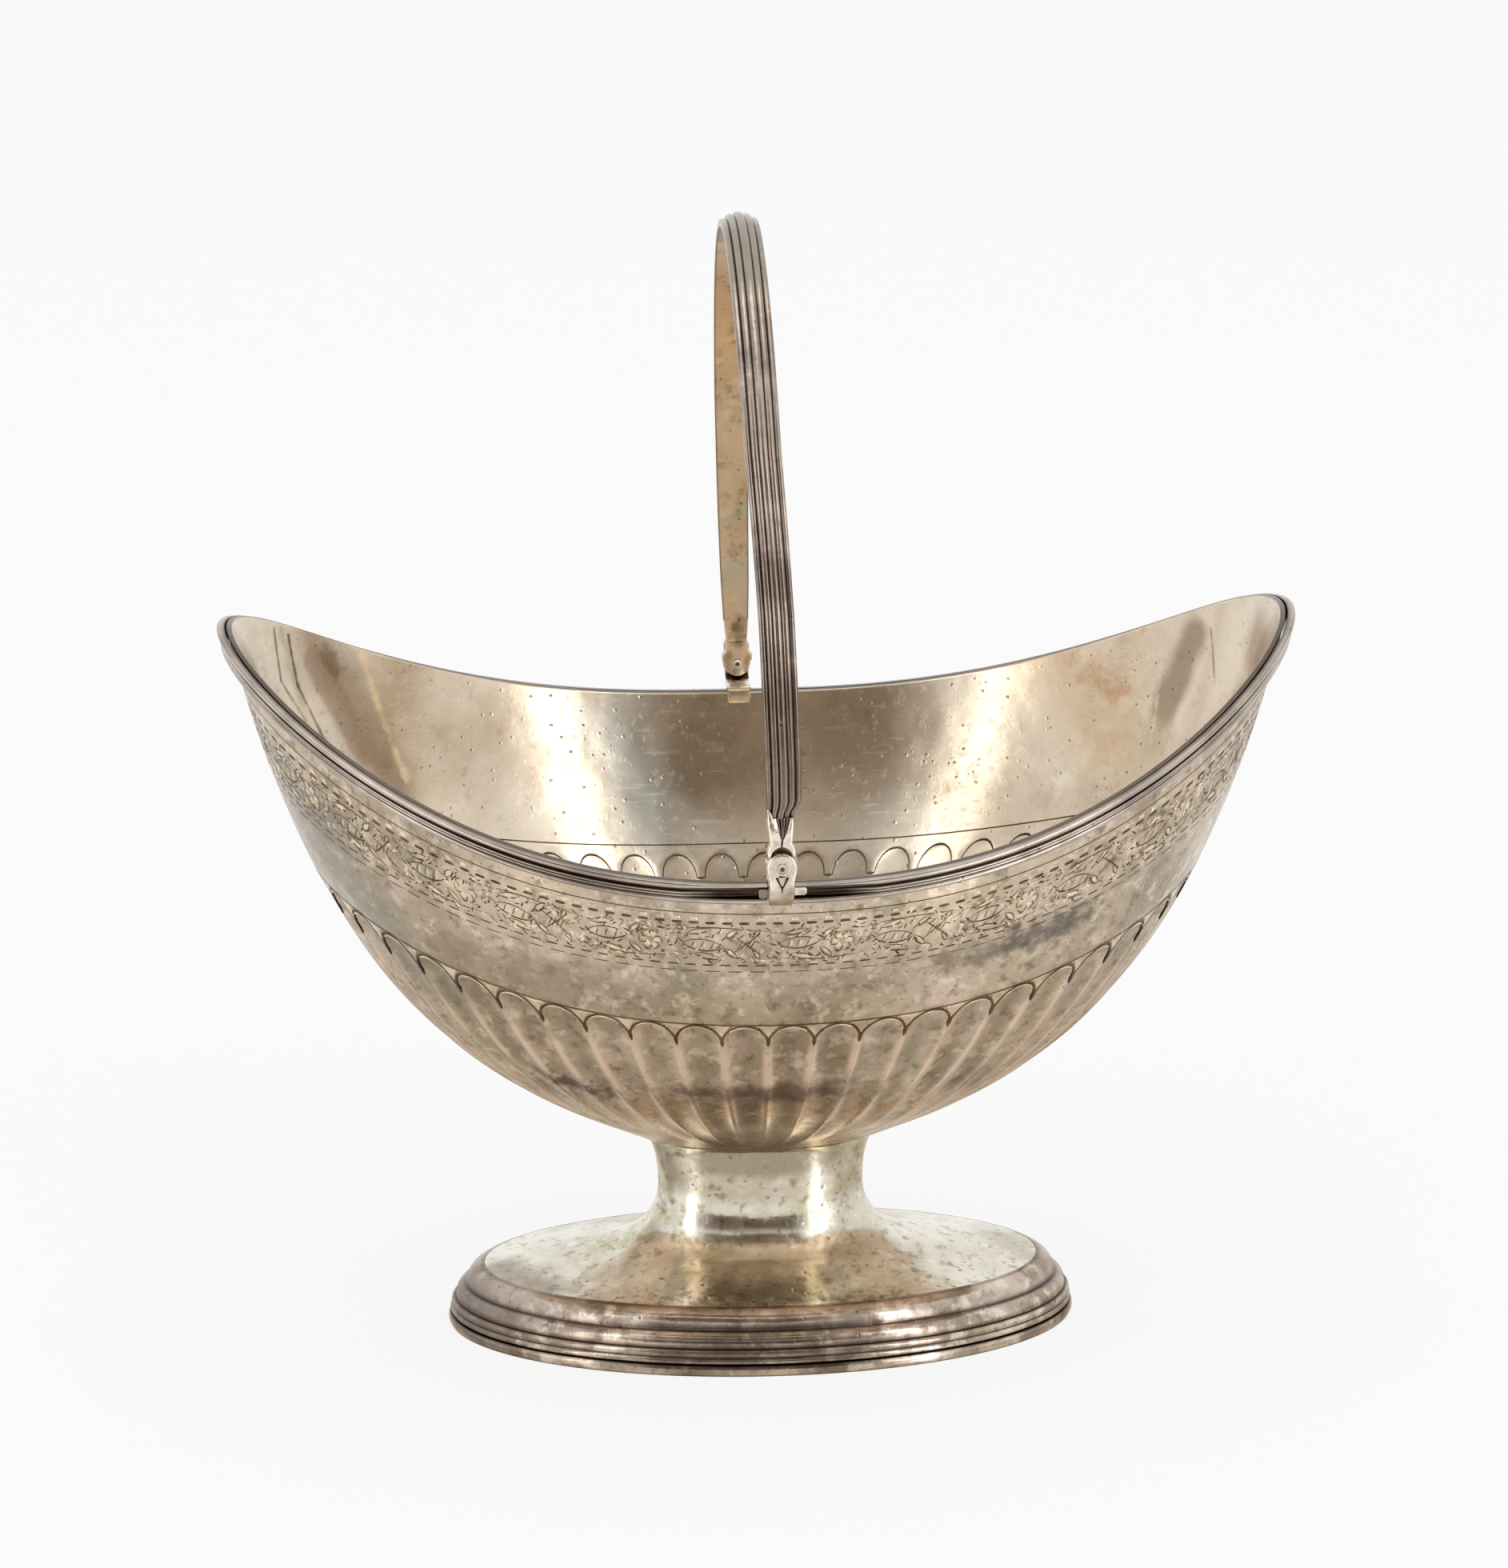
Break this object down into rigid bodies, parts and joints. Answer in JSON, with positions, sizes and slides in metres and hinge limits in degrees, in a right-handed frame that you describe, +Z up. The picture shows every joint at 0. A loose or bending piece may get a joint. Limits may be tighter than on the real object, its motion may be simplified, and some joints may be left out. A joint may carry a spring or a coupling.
{
  "type": "sugar basket",
  "caption": "Boat-shaped fluted silver sugar basket on an oval pedestal foot, with a reeded rim and a swing handle hinged across its width.",
  "frame": {"origin": "the middle of the foot's underside, on the surface that the basket stands on", "axes": "+Z up, X along the bowl, Y across it; the handle's hinges are at -Y (front) and +Y (back)"},
  "size_m": [0.1648, 0.1144, 0.1756],
  "materials": {
    "body_silver": "polished silver with warm brown-grey tarnish, engraved and fluted",
    "wire_silver": "drawn reeded silver wire with dark tarnish in the grooves",
    "foot_silver": "polished silver with pale yellow tarnish and dark specks",
    "hinge_silver": "filed and polished silver",
    "handle_silver": "drawn reeded silver strip, dark purple-grey tarnish in the grooves"
  },
  "bodies": {
    "basket": {"bowl": "body_silver", "rim_wire_right": "wire_silver", "rim_wire_left": "wire_silver", "pedestal": "foot_silver", "foot_base_ring": "foot_silver", "foot_reed_wire": "wire_silver", "foot_step_wire": "wire_silver", "hinge_lug_front": "hinge_silver", "hinge_lug_back": "hinge_silver", "hinge_pin_front": "hinge_silver", "hinge_pin_back": "hinge_silver"},
    "handle": {"handle_arch": "handle_silver", "handle_terminal_front": "hinge_silver", "handle_terminal_back": "hinge_silver"}
  },
  "joints": [
    {"name": "handle_swing", "type": "hinge", "parent": "basket", "child": "handle", "pos_m": [0, 0, 0.0907], "axis": [0, 1, 0], "range_deg": [-70, 73]}
  ]
}
